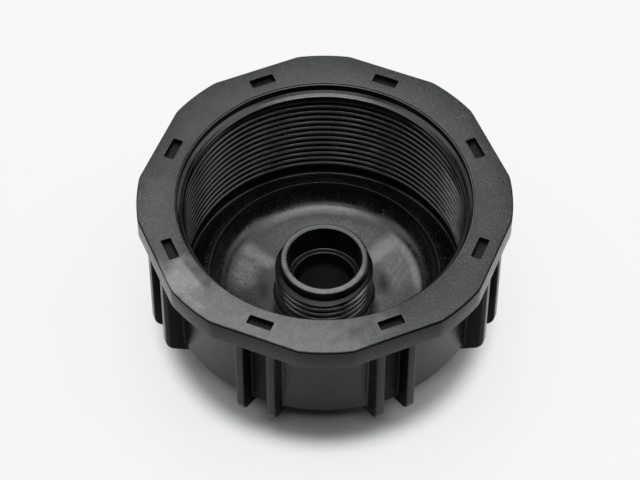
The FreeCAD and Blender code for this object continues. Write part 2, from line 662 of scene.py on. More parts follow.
@dataclass(frozen=True)
class Thread:
    """A right-hand thread cut into a wall, in millimetres and turns."""

    side: ThreadSide
    crest_radius: float
    pitch: float
    depth: float
    groove_height: float
    top_turn: float
    bottom_turn: float
    root_share: float = 0.12
    crest_share: float = 0.22
    top_fade: float = 0.08
    bottom_fade: float = 0.7
    rows_per_pitch: int = 16

    def cut(self, piece: bpy.types.Object, tree: bpy.types.NodeTree, material: bpy.types.Material) -> None:
        """Cut this thread into a piece's marked wall.

        Args:
            piece: The object with the wall.
            tree: The thread's geometry nodes.
            material: The piece's material.
        """
        bake_nodes(piece, tree, Side=float(self.side.value), Pitch=self.pitch * MM,
                   Groove_Height=self.groove_height * MM, Crest_Radius=self.crest_radius * MM,
                   Depth=self.depth * MM, Root_Share=self.root_share, Crest_Share=self.crest_share,
                   Top_Turn=self.top_turn, Bottom_Turn=self.bottom_turn, Top_Fade=self.top_fade,
                   Bottom_Fade=self.bottom_fade, Material=material)


@dataclass
class Flange:
    """The lobed flange round the mouth, in millimetres."""

    radius: float = 50.0
    flat: float = 48.48
    lobes: int = 8
    thickness: float = 7.25
    top: float = 45.5
    corner_fillet: float = 6.0
    edge_fillet: float = 0.4
    under_fillet: float = 0.3
    pocket_centre: float = 43.95
    pocket_length: float = 6.83
    pocket_width: float = 2.87
    pocket_depth: float = 1.65
    pocket_corner: float = 0.35
    flat_columns: int = 10
    corner_columns: int = 4
    lobe_columns: int = 6

    def corner(self) -> tuple[float, float, float, float]:
        """Where a flat is rounded into a lobe.

        Returns:
            The rounding's centre, outwards and sideways, and the angles at which it starts and ends.
        """
        out = self.flat - self.corner_fillet
        side = math.sqrt((self.radius - self.corner_fillet) ** 2 - out ** 2)
        return out, side, math.atan2(side, self.flat), math.atan2(side, out)

    def outline(self, angle: float) -> float:
        """Distance from the axis to the flange's edge.

        Args:
            angle: The direction, in radians.

        Returns:
            The radius there.
        """
        sector = math.tau / self.lobes
        off = abs((angle % sector) - sector / 2)
        out, side, start, end = self.corner()
        if off <= start:
            return self.flat / math.cos(off)
        if off >= end:
            return self.radius
        along = out * math.cos(off) + side * math.sin(off)
        return along + math.sqrt(along ** 2 - out ** 2 - side ** 2 + self.corner_fillet ** 2)

    def angles(self) -> np.ndarray:
        """Angles of the mesh's columns, close together where the outline turns.

        Returns:
            The angles in radians, in order.
        """
        sector = math.tau / self.lobes
        _, _, start, end = self.corner()
        runs = ((0.0, start, self.flat_columns), (start, end, self.corner_columns),
                (end, sector / 2, self.lobe_columns))
        half = np.concatenate([np.linspace(low, high, count)[:-1] for low, high, count in runs])
        whole = np.concatenate([half, sector - half[::-1][:-1], [sector / 2]])
        whole = np.unique(np.round(np.sort(whole % sector), 9))
        return np.concatenate([sector / 2 + whole + k * sector for k in range(self.lobes)])

    def reach(self, radius: float, angle: float) -> float:
        """Bring a radius of the plain disc to the lobed outline.

        Args:
            radius: The radius on a disc of the full size.
            angle: The direction, in radians.

        Returns:
            The radius on the lobed flange.
        """
        return radius if radius < self.flat else radius - self.radius + self.outline(angle)

    def pocket_cutter(self) -> bpy.types.Object:
        """The block that one pocket is cut with, on the X axis.

        Returns:
            The cutter's object.
        """
        work = bmesh.new()
        size = (self.pocket_width, self.pocket_length, 2 * self.pocket_depth)
        bmesh.ops.create_cube(work, size=1.0, matrix=Matrix.Diagonal((*size, 1.0)))
        upright = [e for e in work.edges if abs(e.verts[0].co.z - e.verts[1].co.z) > self.pocket_depth]
        bmesh.ops.bevel(work, geom=upright, offset=self.pocket_corner, segments=4, profile=0.5,
                        affect="EDGES")
        for vertex in work.verts:
            vertex.co = (vertex.co + Vector((self.pocket_centre, 0.0, self.top))) * MM
        mesh = plain_mesh("pocket_cutter", work)
        outward(mesh)
        return link("pocket_cutter", mesh)


@dataclass
class Collar:
    """The barrel, the flange, the threaded mouth, the seat and the bowl-like floor, in millimetres.

    A pair of numbers is a radius and a height.
    """

    flange: Flange = field(default_factory=Flange)
    floor: BowlFloor = field(default_factory=BowlFloor)
    thread: Thread = field(default_factory=lambda: Thread(
        side=ThreadSide.INTERNAL, crest_radius=37.58, pitch=2.247, depth=1.32, groove_height=11.42,
        top_turn=14.3, bottom_turn=-1.2, top_fade=2.4, bottom_fade=0.3))
    barrel_radius: float = 43.55
    barrel_draft: float = 0.35
    barrel_end: float = 9.0
    shoulder_drop: float = 3.6
    shoulder_angle: float = 30.0
    foot_radius: float = 18.0
    foot_pocket_radius: float = 10.0
    foot_pocket_depth: float = 1.9
    counterbore_radius: float = 39.45
    rim_step: float = 0.38
    counterbore_floor: float = 43.15
    lead_floor: float = 42.25
    lead_break: Point = (38.6, 42.62)
    thread_end: float = 12.75
    relief_radius: float = 38.18
    relief_bevel: float = 0.05
    seat_height: float = 7.95
    crown: Point = (33.45, 11.51)
    lip: Point = (31.45, 12.12)
    dish_fillet: float = 5.75
    dish_break_radius: float = 20.0
    spigot_overlap: float = 0.5
    shade_angle: float = 32.0

    def section(self) -> tuple[list[Point], list[bool]]:
        """The collar's turned section, from the axis below to the axis above.

        Returns:
            The section's points, and the marks of its threaded wall.
        """
        top, under, out = self.flange.top, self.flange.top - self.flange.thickness, self.flange.radius
        outer = self.lip[0] + self.floor.wall
        low = self.floor.under(outer)
        shoulder = self.seat_height - self.shoulder_drop
        run = (self.barrel_end - shoulder) / math.tan(math.radians(self.shoulder_angle))
        rim, rim_floor = self.counterbore_radius + self.rim_step, top - self.rim_step
        crest, centre = self.thread.crest_radius, self.floor.start - self.spigot_overlap
        corners = [
            Corner(0, self.foot_pocket_depth), Corner(self.foot_pocket_radius, self.foot_pocket_depth, 0.5),
            Corner(self.foot_pocket_radius, 0, 0.4), Corner(self.foot_radius, 0, 0.4),
            Corner(self.foot_radius, self.floor.under(self.foot_radius), 0.3),
            Corner(outer - (shoulder - low), low, 6.0, 8), Corner(outer, shoulder, 1.5),
            Corner(self.barrel_radius - run, shoulder, 2.0),
            Corner(self.barrel_radius, self.barrel_end, 1.5, 8),
            Corner(self.barrel_radius + self.barrel_draft, under, 0.5),
            Corner(out, under, self.flange.under_fillet, 4), Corner(out, top, self.flange.edge_fillet, 6),
            Corner(rim, top, 0.1, 3), Corner(rim, rim_floor, 0.05, 2),
            Corner(self.counterbore_radius, rim_floor, 0.1, 3),
            Corner(self.counterbore_radius, self.counterbore_floor, 0.12, 3),
            Corner(*self.lead_break, 0.05, 2), Corner(crest, self.lead_floor, 0.1, 2),
            Corner(crest, self.thread_end), Corner(self.relief_radius, self.thread_end - self.relief_bevel),
            Corner(self.relief_radius, self.seat_height, 0.4, 5), Corner(*self.crown, 2.0, 4),
            Corner(*self.lip, 0.35, 6),
            Corner(self.lip[0], self.floor.top(self.lip[0]), self.dish_fillet, 20),
            Corner(self.dish_break_radius, self.floor.top(self.dish_break_radius)),
            Corner(centre, self.floor.top(centre)), Corner(0, self.floor.height - 0.1),
        ]
        wall = Zone(crest, self.counterbore_radius, self.thread_end, self.counterbore_floor)
        return divided(turned_section(corners), wall, self.thread.pitch / self.thread.rows_per_pitch)

    def build(self, finish: bpy.types.Material, threads: bpy.types.NodeTree,
              pockets: bpy.types.NodeTree) -> bpy.types.Object:
        """Build the collar's mesh.

        Args:
            finish: Its material.
            threads: The thread's geometry nodes.
            pockets: The pockets' geometry nodes.

        Returns:
            The finished object.
        """
        section, marks = self.section()
        piece = lathe("connector_collar", section, marks, self.flange.angles(), self.flange.reach)
        outward(piece.data)
        self.thread.cut(piece, threads, finish)
        cutter = self.flange.pocket_cutter()
        bake_nodes(piece, pockets, Cutter=cutter, Count=self.flange.lobes, Material=finish)
        bpy.data.objects.remove(cutter)
        soften(piece.data, self.shade_angle, Zone(
            (self.thread.crest_radius - 0.1) * MM, (self.counterbore_radius - 0.2) * MM,
            (self.thread_end + 0.1) * MM, self.counterbore_floor * MM))
        return piece


@dataclass
class Spigot:
    """The small spigot in the middle, with its male thread and stepped blind bore, in millimetres."""

    thread: Thread = field(default_factory=lambda: Thread(
        side=ThreadSide.EXTERNAL, crest_radius=13.5, pitch=2.25, depth=1.25, groove_height=7.58,
        top_turn=3.75, bottom_turn=-0.5, crest_share=0.25, top_fade=0.12, bottom_fade=0.35))
    floor: BowlFloor = field(default_factory=BowlFloor)
    rim_height: float = 18.65
    lead_radius: float = 12.0
    lead_length: float = 3.4
    lead_chamfer: float = 0.63
    bore_radius: float = 10.18
    ledge_height: float = 9.7
    ledge_radius: float = 8.45
    recess_floor: float = 4.5
    recess_taper: float = 0.3
    foot_fillet: float = 0.7
    skirt_width: float = 1.5
    skirt_cover: float = 0.05
    buried_height: float = 3.3
    columns: int = 192
    shade_angle: float = 40.0

    def section(self) -> tuple[list[Point], list[bool]]:
        """The spigot's turned section, from the axis below to the axis above.

        Returns:
            The section's points, and the marks of its threaded wall.
        """
        crest, rim, lead = self.thread.crest_radius, self.rim_height, self.rim_height - self.lead_length
        skirt = crest + self.skirt_width
        corners = [
            Corner(0, self.buried_height), Corner(skirt, self.buried_height),
            Corner(skirt, self.floor.top(skirt) - self.skirt_cover),
            Corner(crest, self.floor.top(crest), self.foot_fillet, 8),
            Corner(crest, lead - self.lead_chamfer, 0.12, 2), Corner(self.lead_radius, lead, 0.15, 2),
            Corner(self.lead_radius, rim, 0.3, 5), Corner(self.bore_radius, rim, 0.35, 5),
            Corner(self.bore_radius, self.ledge_height, 0.3, 4),
            Corner(self.ledge_radius, self.ledge_height, 0.4, 5),
            Corner(self.ledge_radius - self.recess_taper, self.recess_floor, 1.6, 8),
            Corner(0, self.recess_floor),
        ]
        wall = Zone(self.lead_radius, crest, self.floor.height + self.foot_fillet, lead)
        return divided(turned_section(corners), wall, self.thread.pitch / self.thread.rows_per_pitch)

    def build(self, finish: bpy.types.Material, threads: bpy.types.NodeTree) -> bpy.types.Object:
        """Build the spigot's mesh.

        Args:
            finish: Its material.
            threads: The thread's geometry nodes.

        Returns:
            The finished object.
        """
        section, marks = self.section()
        angles = np.linspace(0, math.tau, self.columns, endpoint=False)
        piece = lathe("connector_spigot", section, marks, angles)
        outward(piece.data)
        self.thread.cut(piece, threads, finish)
        crest = self.thread.crest_radius
        soften(piece.data, self.shade_angle, Zone(
            (crest - self.thread.depth - 0.2) * MM, (crest + 0.1) * MM,
            (self.floor.height + 1) * MM, (self.rim_height - self.lead_length) * MM))
        return piece


@dataclass
class Ribs:
    """Sixteen ribs in pairs behind the flats, which wrap under the bowl to rounded feet, in millimetres."""

    pairs: int = 8
    offset: float = 4.31
    thickness: float = 2.34
    outer: float = 48.48
    top: float = 38.6
    lower_corner: float = 9.468
    corner_fillet: float = 5.1
    foot: float = 33.9
    root: float = 15.5
    edge_round: float = 0.45
    root_fillet: float = 0.55
    barrel_radius: float = 43.6
    barrel_low: float = 9.4
    barrel_drafts: Point = (-0.05, 0.3)
    sunk_in_wall: float = 0.6
    sunk_in_rib: float = 0.4
    shade_angle: float = 30.0
    # The plate's edge inside the floor and the barrel, as radius and height
    buried: tuple[Point, ...] = (
        (15.5, 2.0), (26.0, 3.6), (29.0, 4.4), (32.5, 6.0), (35.0, 7.8), (38.5, 7.8), (42.2, 9.8),
        (42.2, 38.6))

    def plate(self, work: bmesh.types.BMesh, middle: float) -> None:
        """Add one rib plate with softened outer edges.

        Args:
            work: The mesh under construction.
            middle: The plate's place across the pair.
        """
        outline = turned_section([
            Corner(self.outer, self.top), Corner(self.outer, self.lower_corner, self.corner_fillet, 10),
            Corner(self.foot, 0.0, 0.6, 4), Corner(self.root, 0.0),
        ])
        faces = (middle - self.thickness / 2, middle + self.thickness / 2)
        rows = prism(work, [[(x, face, z) for x, z in (*outline, *self.buried)] for face in faces])
        work.normal_update()
        rims = [work.edges.get((row[i], row[i + 1])) for row in rows for i in range(len(outline) - 1)]
        bmesh.ops.bevel(work, geom=rims, offset=self.edge_round, segments=4, profile=0.5, affect="EDGES")

    def root_strip(self, work: bmesh.types.BMesh, face: float, way: float) -> None:
        """Add the small fillet between a rib's side and the barrel.

        Args:
            work: The mesh under construction.
            face: Where the rib's side lies across the pair.
            way: 1 if the side looks towards +Y, or -1.
        """
        size, steps = self.root_fillet, 5
        wall = math.sqrt(self.barrel_radius ** 2 - face ** 2)
        sunk = face - way * self.sunk_in_rib
        plan = [(wall - self.sunk_in_wall, sunk), (wall + size, sunk), (wall + size, face)]
        for angle in (math.pi / 2 * k / steps for k in range(1, steps + 1)):
            plan.append((wall + size * (1 - math.sin(angle)), face + way * size * (1 - math.cos(angle))))
        plan.append((wall - self.sunk_in_wall, face + way * size))
        lean = -face / wall
        prism(work, [[(x + draft + lean * (y - face), y, z) for x, y in plan]
                     for z, draft in zip((self.barrel_low, self.top), self.barrel_drafts)])

    def build(self, finish: bpy.types.Material, ring: bpy.types.NodeTree) -> bpy.types.Object:
        """Build all the ribs.

        Args:
            finish: Their material.
            ring: The geometry nodes that repeat a pair round the axis.

        Returns:
            The finished object.
        """
        work = bmesh.new()
        for middle in (-self.offset, self.offset):
            self.plate(work, middle)
            for way in (-1, 1):
                self.root_strip(work, middle + way * self.thickness / 2, way)
        for vertex in work.verts:
            vertex.co *= MM
        piece = link("connector_ribs", plain_mesh("connector_ribs", work))
        outward(piece.data)
        bake_nodes(piece, ring, Count=self.pairs, Material=finish)
        soften(piece.data, self.shade_angle)
        return piece


def grain_group() -> bpy.types.NodeTree:
    """Fine moulded grain with slow blotches.

    Returns:
        The shader node group.
    """
    writer, given, result = open_group("MouldedGrain", "ShaderNodeTree", {
        "Vector": SocketKind.VECTOR, "Grain Scale": 2600.0, "Blotch Scale": 120.0,
    }, {"Height": SocketKind.NUMBER, "Blotches": SocketKind.NUMBER})
    slow = writer.noise(given["Vector"], given["Blotch Scale"], 5.0, 0.65)
    writer.feed(result["Height"], writer.noise(given["Vector"], given["Grain Scale"], 3.0, 0.6))
    writer.feed(result["Blotches"], writer.ramp(slow, 0.36, 0.66))
    return writer.tree


def speck_group() -> bpy.types.NodeTree:
    """Scattered dust specks and tiny nicks.

    Returns:
        The shader node group.
    """
    writer, given, result = open_group("DustSpecks", "ShaderNodeTree", {
        "Vector": SocketKind.VECTOR, "Scale": 700.0, "Size": 0.12, "Share": 0.1,
    }, {"Mask": SocketKind.NUMBER})
    cells = writer.node("ShaderNodeTexVoronoi", Vector=given["Vector"], Scale=given["Scale"])
    pick = writer.node("ShaderNodeSeparateColor", Color=cells.outputs["Color"])
    chosen = writer.math("LESS_THAN", pick.outputs[0], given["Share"])
    size = writer.times(given["Size"], writer.plus(0.4, pick.outputs[1]))
    dot = writer.math("LESS_THAN", cells.outputs["Distance"], size)
    writer.feed(result["Mask"], writer.times(chosen, dot))
    return writer.tree


def turned_marks_group() -> bpy.types.NodeTree:
    """Faint streaks that run round the axis, from turning and rubbing.

    Returns:
        The shader node group.
    """
    writer, given, result = open_group("TurnedMarks", "ShaderNodeTree", {
        "Vector": SocketKind.VECTOR, "Spacing": 1600.0, "Breaks": 3.0,
    }, {"Streaks": SocketKind.NUMBER})
    x, y, z = writer.split(given["Vector"])
    depth = writer.minus(writer.length(x, y), z)
    unit = writer.node("ShaderNodeVectorMath", Vector=given["Vector"])
    unit.operation = "NORMALIZE"
    across, along, _ = writer.split(unit.outputs[0])
    place = writer.vector(writer.times(across, given["Breaks"]), writer.times(along, given["Breaks"]),
                          writer.times(depth, given["Spacing"]))
    writer.feed(result["Streaks"], writer.ramp(writer.noise(place, 1.0, 2.0, 0.5), 0.52, 0.72))
    return writer.tree


def patch_group() -> bpy.types.NodeTree:
    """A patch on one side of the axis, broken up by blotches and scratches, for wear, painted highlights and
    shade.

    Returns:
        The shader node group.
    """
    writer, given, result = open_group("WornPatch", "ShaderNodeTree", {
        "Vector": SocketKind.VECTOR, "Bearing": 0.0, "Spread": 0.35, "Inner Radius": 0.01,
        "Outer Radius": 0.02, "Soft Edge": 0.003, "Blur": 0.6, "Streaks": 0.0, "Lines": 1.0,
        "Scratch Bearing": 0.0,
    }, {"Mask": SocketKind.NUMBER})
    place = given["Vector"]
    x, y, _ = writer.split(place)
    radius = writer.length(x, y)
    along = writer.plus(writer.times(x, writer.math("COSINE", given["Bearing"])),
                        writer.times(y, writer.math("SINE", given["Bearing"])))
    off = writer.math("ARCCOSINE", writer.over(along, writer.most(radius, TINY)))
    wave = writer.minus(writer.noise(place, 140.0, 4.0, 0.6), 0.5)
    wobble = writer.times(wave, writer.ramp(given["Lines"], 0.3, 1.0, 1.6, 0.6))
    near = writer.ramp(writer.plus(writer.over(off, given["Spread"]), wobble), 1.0,
                       writer.minus(1.0, given["Blur"]))
    edge = given["Soft Edge"]
    inner = writer.ramp(radius, given["Inner Radius"], writer.plus(given["Inner Radius"], edge))
    outer = writer.ramp(radius, given["Outer Radius"], writer.minus(given["Outer Radius"], edge))
    lean = writer.node("ShaderNodeVectorRotate", Vector=place,
                       Angle=writer.times(given["Scratch Bearing"], -1.0))
    lean.rotation_type = "Z_AXIS"
    drawn = writer.node("ShaderNodeMapping", Vector=lean.outputs[0], Scale=(420.0, 5200.0, 300.0))
    lines = writer.ramp(writer.noise(drawn.outputs[0], 1.0, 3.0, 0.65), 0.51, 0.64)
    grains = writer.ramp(writer.noise(place, 2600.0, 3.0, 0.7), 0.52, 0.72, 0.0, 0.8)
    scratched = writer.most(writer.times(lines, given["Lines"]), grains)
    broken = writer.plus(writer.minus(1.0, given["Streaks"]), writer.times(given["Streaks"], scratched))
    gap = writer.ramp(given["Lines"], 0.3, 1.0, 0.68, 0.9)
    spots = writer.ramp(writer.noise(place, 420.0, 4.0, 0.7), 0.36, 0.6, gap, 1.0)
    writer.feed(result["Mask"], writer.times(inner, outer, near, broken, spots))
    return writer.tree


@dataclass
class PlasticGroups:
    """The shader node groups that the plastic is made of."""

    grain: bpy.types.NodeTree = field(default_factory=grain_group)
    specks: bpy.types.NodeTree = field(default_factory=speck_group)
    marks: bpy.types.NodeTree = field(default_factory=turned_marks_group)
    patch: bpy.types.NodeTree = field(default_factory=patch_group)


@dataclass(frozen=True)
class Surface:
    """What the plastic's nodes read: where on the moulding a point lies, in metres."""

    writer: TreeWriter
    groups: PlasticGroups
    place: Socket
    x: Socket
    y: Socket
    radius: Socket
    height: Socket

    @classmethod
    def read(cls, writer: TreeWriter, groups: PlasticGroups) -> "Surface":
        """Read a point's place on the piece.

        Args:
            writer: The material's writer.
            groups: The plastic's node groups.

        Returns:
            The surface's sockets.
        """
        place = writer.node("ShaderNodeTexCoord").outputs["Object"]
        x, y, z = writer.split(place)
        return cls(writer, groups, place, x, y, writer.length(x, y), z)

    def mask(self, zone: Zone) -> Socket:
        """A mask of a zone, which is given in metres."""
        return self.writer.times(self.writer.between(self.radius, zone.inner, zone.outer, zone.radius_edge),
                                 self.writer.between(self.height, zone.low, zone.high, zone.height_edge))


@dataclass(frozen=True)
class Patch:
    """A patch to one side of the axis, in degrees, metres and shares.

    Its strength is share, streaks is how far scratches break it up, blur is how softly it ends
    sideways, and lines is how strong the scratches are, which run along scratch_bearing.
    """

    bearing: float
    spread: float
    zone: Zone
    share: float
    streaks: float
    soft_edge: float
    scratch_bearing: float = 0.0
    blur: float = 0.6
    lines: float = 1.0

    def mask(self, on: Surface) -> Socket:
        """Mask of the patch.

        Args:
            on: The surface.

        Returns:
            The mask's socket.
        """
        drawn = on.writer.group(
            on.groups.patch, Vector=on.place, Bearing=math.radians(self.bearing),
            Spread=math.radians(self.spread), Inner_Radius=self.zone.inner,
            Outer_Radius=self.zone.outer, Soft_Edge=self.soft_edge, Streaks=self.streaks,
            Blur=self.blur, Lines=self.lines, Scratch_Bearing=math.radians(self.scratch_bearing))
        level = on.writer.between(on.height, self.zone.low, self.zone.high, self.zone.height_edge)
        return on.writer.times(drawn["Mask"], level, self.share)


@dataclass(frozen=True)
class PlasticMasks:
    """The masks and textures that several of the plastic's properties follow."""

    texture: bpy.types.NodeOutputs
    flecks: Socket
    inside: Socket
    in_bowl: Socket
    thread_highlight: Socket
    on_male: Socket
    on_side: Socket
    shaded: Socket
    wear_and_highlights: Socket


@dataclass(frozen=True)
class BlackPlastic:
    """Black moulded plastic with a fine grain, patches of wear, painted highlights on the threads and in the
    bowl, and a little dust, in metres.

    A pair of numbers is where a mask starts and where it is full, or the two bounds of a band.
    """

    name: str = "black_plastic"
    dark: Colour = (0.0025, 0.0025, 0.0026, 1.0)
    light: Colour = (0.006, 0.006, 0.0063, 1.0)
    # Pale colour of the fine flecks, which also paints the highlights on the thread crest
    haze_and_highlight: Colour = (0.13, 0.13, 0.128, 1.0)
    # Pale colour of the patches of wear, which also paints the highlights in the bowl and on the thread
    rubbed_and_highlight: Colour = (0.3, 0.295, 0.29, 1.0)
    dust: Colour = (0.2, 0.195, 0.19, 1.0)
    refraction: float = 1.46
    roughness: float = 0.36
    inner_roughness: float = 0.2
    shaded_roughness: float = 0.7
    side_polish: float = 0.18
    side_level: float = 0.36
    grain_scale: float = 1900.0
    blotch_scale: float = 130.0
    fleck_scale: float = 1500.0
    cloud_scale: float = 90.0
    mouth_edge: Point = (0.0402, 0.0398)
    top_edge: Point = (0.04535, 0.04549)
    pair_gap: Point = (0.0035, 0.0033)
    rib_flank: Point = (0.0053, 0.0058)
    under_flange: Point = (0.0385, 0.0382)
    bowl: Zone = Zone(0.0138, 0.0368, high=0.0125, height_edge=0.0005)
    thread: Zone = Zone(0.0368, 0.0392, 0.0124, 0.0432)
    thread_crest: Point = (0.0372, 0.0377)
    male_thread: Zone = Zone(0.0122, 0.0137, 0.004, 0.0143)
    outer_side: Zone = Zone(0.0415, high=0.0452, radius_edge=0.0005, height_edge=0.0002)
    # Zones that are darkened, each with how far
    shaded_zones: tuple[tuple[Zone, float], ...] = (
        # The spigot's recess and its ledge
        (Zone(outer=0.0087, high=0.0095, radius_edge=0.0002), 1.0),
        (Zone(0.0089, 0.0099, 0.0092, 0.0102), 0.8),
        # The lip of the dish and the band over the male thread
        (Zone(0.031, 0.0319, 0.0114, 0.0126), 0.6),
        (Zone(0.0119, 0.01353, 0.0144, 0.0154), 0.4),
        # The flange's upper edge and its pockets
        (Zone(0.0415, low=0.0446, high=0.04546, height_edge=0.00004), 1.0),
        (Zone(0.0415, 0.0474, 0.0435, 0.0443), 0.45),
    )
    shaded_patches: tuple[Patch, ...] = tuple(
        Patch(bearing, 20.0, Zone(0.0134, 0.0205, high=0.0065, height_edge=0.0005), 0.5, 0.0, 0.004, blur=0.9)
        for bearing in (180.0, 8.0))
    wear_and_highlight_patches: tuple[Patch, ...] = (
        # On the flange's top face
        Patch(-144.0, 14.0, Zone(0.0415, 0.0535, 0.0454, 0.047), 0.95, 0.4, 0.002, 120.0, 0.8, 0.6),
        Patch(-136.0, 7.0, Zone(0.0461, 0.0535, 0.0454, 0.047), 0.75, 0.4, 0.0015, 120.0, 0.6, 0.6),
        Patch(-110.0, 50.0, Zone(0.0385, 0.0535, 0.0454, 0.047), 0.46, 0.35, 0.002, 30.0, 0.6, 0.6),
        Patch(-170.0, 22.0, Zone(0.0385, 0.0535, 0.0454, 0.047), 0.14, 0.5, 0.002, 30.0, 0.6, 0.3),
        # In the bowl: painted reflections of the side lamps to either side of the spigot, and a painted
        # highlight on the arc at its back
        Patch(164.0, 22.0, Zone(0.0175, 0.0278, 0.002, 0.0065), 0.75, 0.7, 0.004, 150.0, 0.8),
        Patch(149.0, 10.0, Zone(0.0150, 0.0278, 0.002, 0.0065), 0.8, 0.5, 0.003, 150.0, 0.9),
        Patch(20.0, 30.0, Zone(0.0165, 0.0265, 0.002, 0.0065), 0.6, 0.7, 0.003, 54.0, 0.7),
        Patch(39.0, 12.0, Zone(0.0140, 0.0268, 0.002, 0.0065), 1.0, 0.45, 0.003, 54.0, 0.9),
        Patch(22.0, 30.0, Zone(0.0238, 0.0274, 0.002, 0.0068), 0.9, 0.5, 0.0014, 54.0, 0.5),
        Patch(96.0, 50.0, Zone(0.0252, 0.0288, 0.004, 0.0085), 0.5, 0.35, 0.0012, 96.0, 0.8),
        # A painted glint on the crest of the thread at the right, pale grains painted only on the seat's lit
        # left side, and the spigot's rim paler towards its front
        Patch(22.0, 13.0, Zone(0.0366, 0.0382, 0.0135, 0.034), 1.0, 0.4, 0.0003, 0.0, 0.9, 0.6),
        Patch(190.0, 60.0, Zone(0.0265, 0.0345, 0.003, 0.0135), 0.14, 1.0, 0.002, 150.0, 0.6, 0.2),
        Patch(-90.0, 110.0, Zone(0.0095, 0.0125, 0.0183, 0.019), 0.5, 0.4, 0.0005, 20.0, 0.8, 0.5),
    )

    def thread_highlight_mask(self, on: Surface) -> Socket:
        """Where highlight is painted on the large thread: more further down it and at its back and front,
        less at its sides.

        Args:
            on: The surface.

        Returns:
            The mask's socket.
        """
        writer = on.writer
        lower = writer.ramp(on.height, 0.0415, 0.032, 0.1, 1.0)
        sideways = writer.over(writer.math("ABSOLUTE", on.x), writer.most(on.radius, TINY))
        return writer.times(on.mask(self.thread), lower, writer.ramp(sideways, 0.35, 0.62, 1.0, 0.12))

    def rib_shade(self, on: Surface) -> Socket:
        """Shade between the two ribs of a pair and along their outer sides.

        Args:
            on: The surface.

        Returns:
            The mask's socket.
        """
        writer, eighth = on.writer, math.pi / 8
        turned = writer.math("PINGPONG", writer.math("ARCTAN2", on.y, on.x), eighth)
        aside = writer.times(writer.minus(eighth, turned), on.radius)
        gap = writer.times(writer.ramp(aside, *self.pair_gap), writer.ramp(on.radius, 0.0405, 0.041))
        flank = writer.times(writer.between(aside, *self.rib_flank, 0.0001),
                             writer.between(on.radius, 0.0437, 0.0479, 0.0003))
        return writer.times(writer.most(gap, flank), writer.ramp(on.height, *self.under_flange, 0.0, 0.6))

    def shade(self, on: Surface) -> Socket:
        """Mask of the places that hardly any light reaches.

        Args:
            on: The surface.

        Returns:
            The mask's socket.
        """
        zones = [on.writer.times(on.mask(zone), share) for zone, share in self.shaded_zones]
        patches = [patch.mask(on) for patch in self.shaded_patches]
        return on.writer.most(*zones, *patches, self.rib_shade(on))

    def masks(self, on: Surface) -> PlasticMasks:
        """Make what several of the plastic's properties follow.

        Args:
            on: The surface.

        Returns:
            The masks and textures.
        """
        return PlasticMasks(
            texture=on.writer.group(on.groups.grain, Vector=on.place, Grain_Scale=self.grain_scale,
                                    Blotch_Scale=self.blotch_scale),
            flecks=on.writer.noise(on.place, self.fleck_scale, 5.0, 0.8),
            inside=on.writer.ramp(on.radius, *self.mouth_edge),
            in_bowl=on.mask(self.bowl),
            thread_highlight=self.thread_highlight_mask(on),
            on_male=on.mask(self.male_thread),
            on_side=on.mask(self.outer_side),
            shaded=self.shade(on),
            wear_and_highlights=on.writer.most(*(patch.mask(on) for patch in self.wear_and_highlight_patches)))

    def colour(self, on: Surface, masks: PlasticMasks) -> Socket:
        """Colour, from the bare plastic through the painted highlights to the dust that lies on it.

        Args:
            on: The surface.
            masks: The plastic's masks.

        Returns:
            The colour's socket.
        """
        writer = on.writer
        clouds = writer.ramp(writer.noise(on.place, self.cloud_scale, 3.0, 0.6), 0.36, 0.62, 0.25, 1.0)
        amount = writer.plus(writer.ramp(masks.inside, 0.0, 1.0, 0.1, 0.05),
                             writer.times(masks.in_bowl, 0.07),
                             writer.ramp(on.height, *self.top_edge, 0.0, 0.26))
        hazy = writer.times(writer.ramp(masks.flecks, 0.53, 0.61), clouds, amount)
        plain = writer.tint(masks.texture["Blotches"], self.dark, self.light)
        # Painted highlights: the crest of each thread is tinted pale, on the large thread most down it and at
        # its back and front
        female = writer.times(writer.between(on.radius, *self.thread_crest, 0.0001), masks.thread_highlight)
        male = writer.times(masks.on_male, writer.ramp(on.radius, 0.0132, 0.0134, 0.0, 0.55))
        crest_highlights = writer.times(writer.most(female, male), 0.95)
        bare = writer.tint(crest_highlights, writer.tint(hazy, plain, self.haze_and_highlight), self.haze_and_highlight)
        specks = writer.group(on.groups.specks, Vector=on.place, Scale=900.0, Size=0.13, Share=0.14)
        dusty = writer.times(specks["Mask"], writer.plus(0.12, writer.times(masks.in_bowl, 0.5)))
        # Patches of wear and painted highlights are tinted pale, and dust specks lie over all
        return writer.tint(dusty, writer.tint(masks.wear_and_highlights, bare, self.rubbed_and_highlight), self.dust)

    def unevenness(self, on: Surface, masks: PlasticMasks) -> Socket:
        """Roughness, which is less inside the mouth and more on the patches of wear, on the painted
        highlights and in the shade.

        Args:
            on: The surface.
            masks: The plastic's masks.

        Returns:
            The roughness's socket.
        """
        writer = on.writer
        return writer.plus(
            writer.ramp(masks.inside, 0.0, 1.0, self.roughness, self.inner_roughness),
            writer.times(writer.minus(masks.flecks, 0.5), writer.ramp(masks.inside, 0.0, 1.0, 0.8, 0.1)),
            writer.times(masks.on_side, -self.side_polish),
            writer.times(writer.minus(masks.texture["Blotches"], 0.5), 0.08),
            writer.times(masks.in_bowl, writer.ramp(masks.flecks, 0.35, 0.65, 0.0, 0.14)),
            writer.times(masks.wear_and_highlights, 0.15),
            writer.times(masks.shaded, self.shaded_roughness - self.inner_roughness))

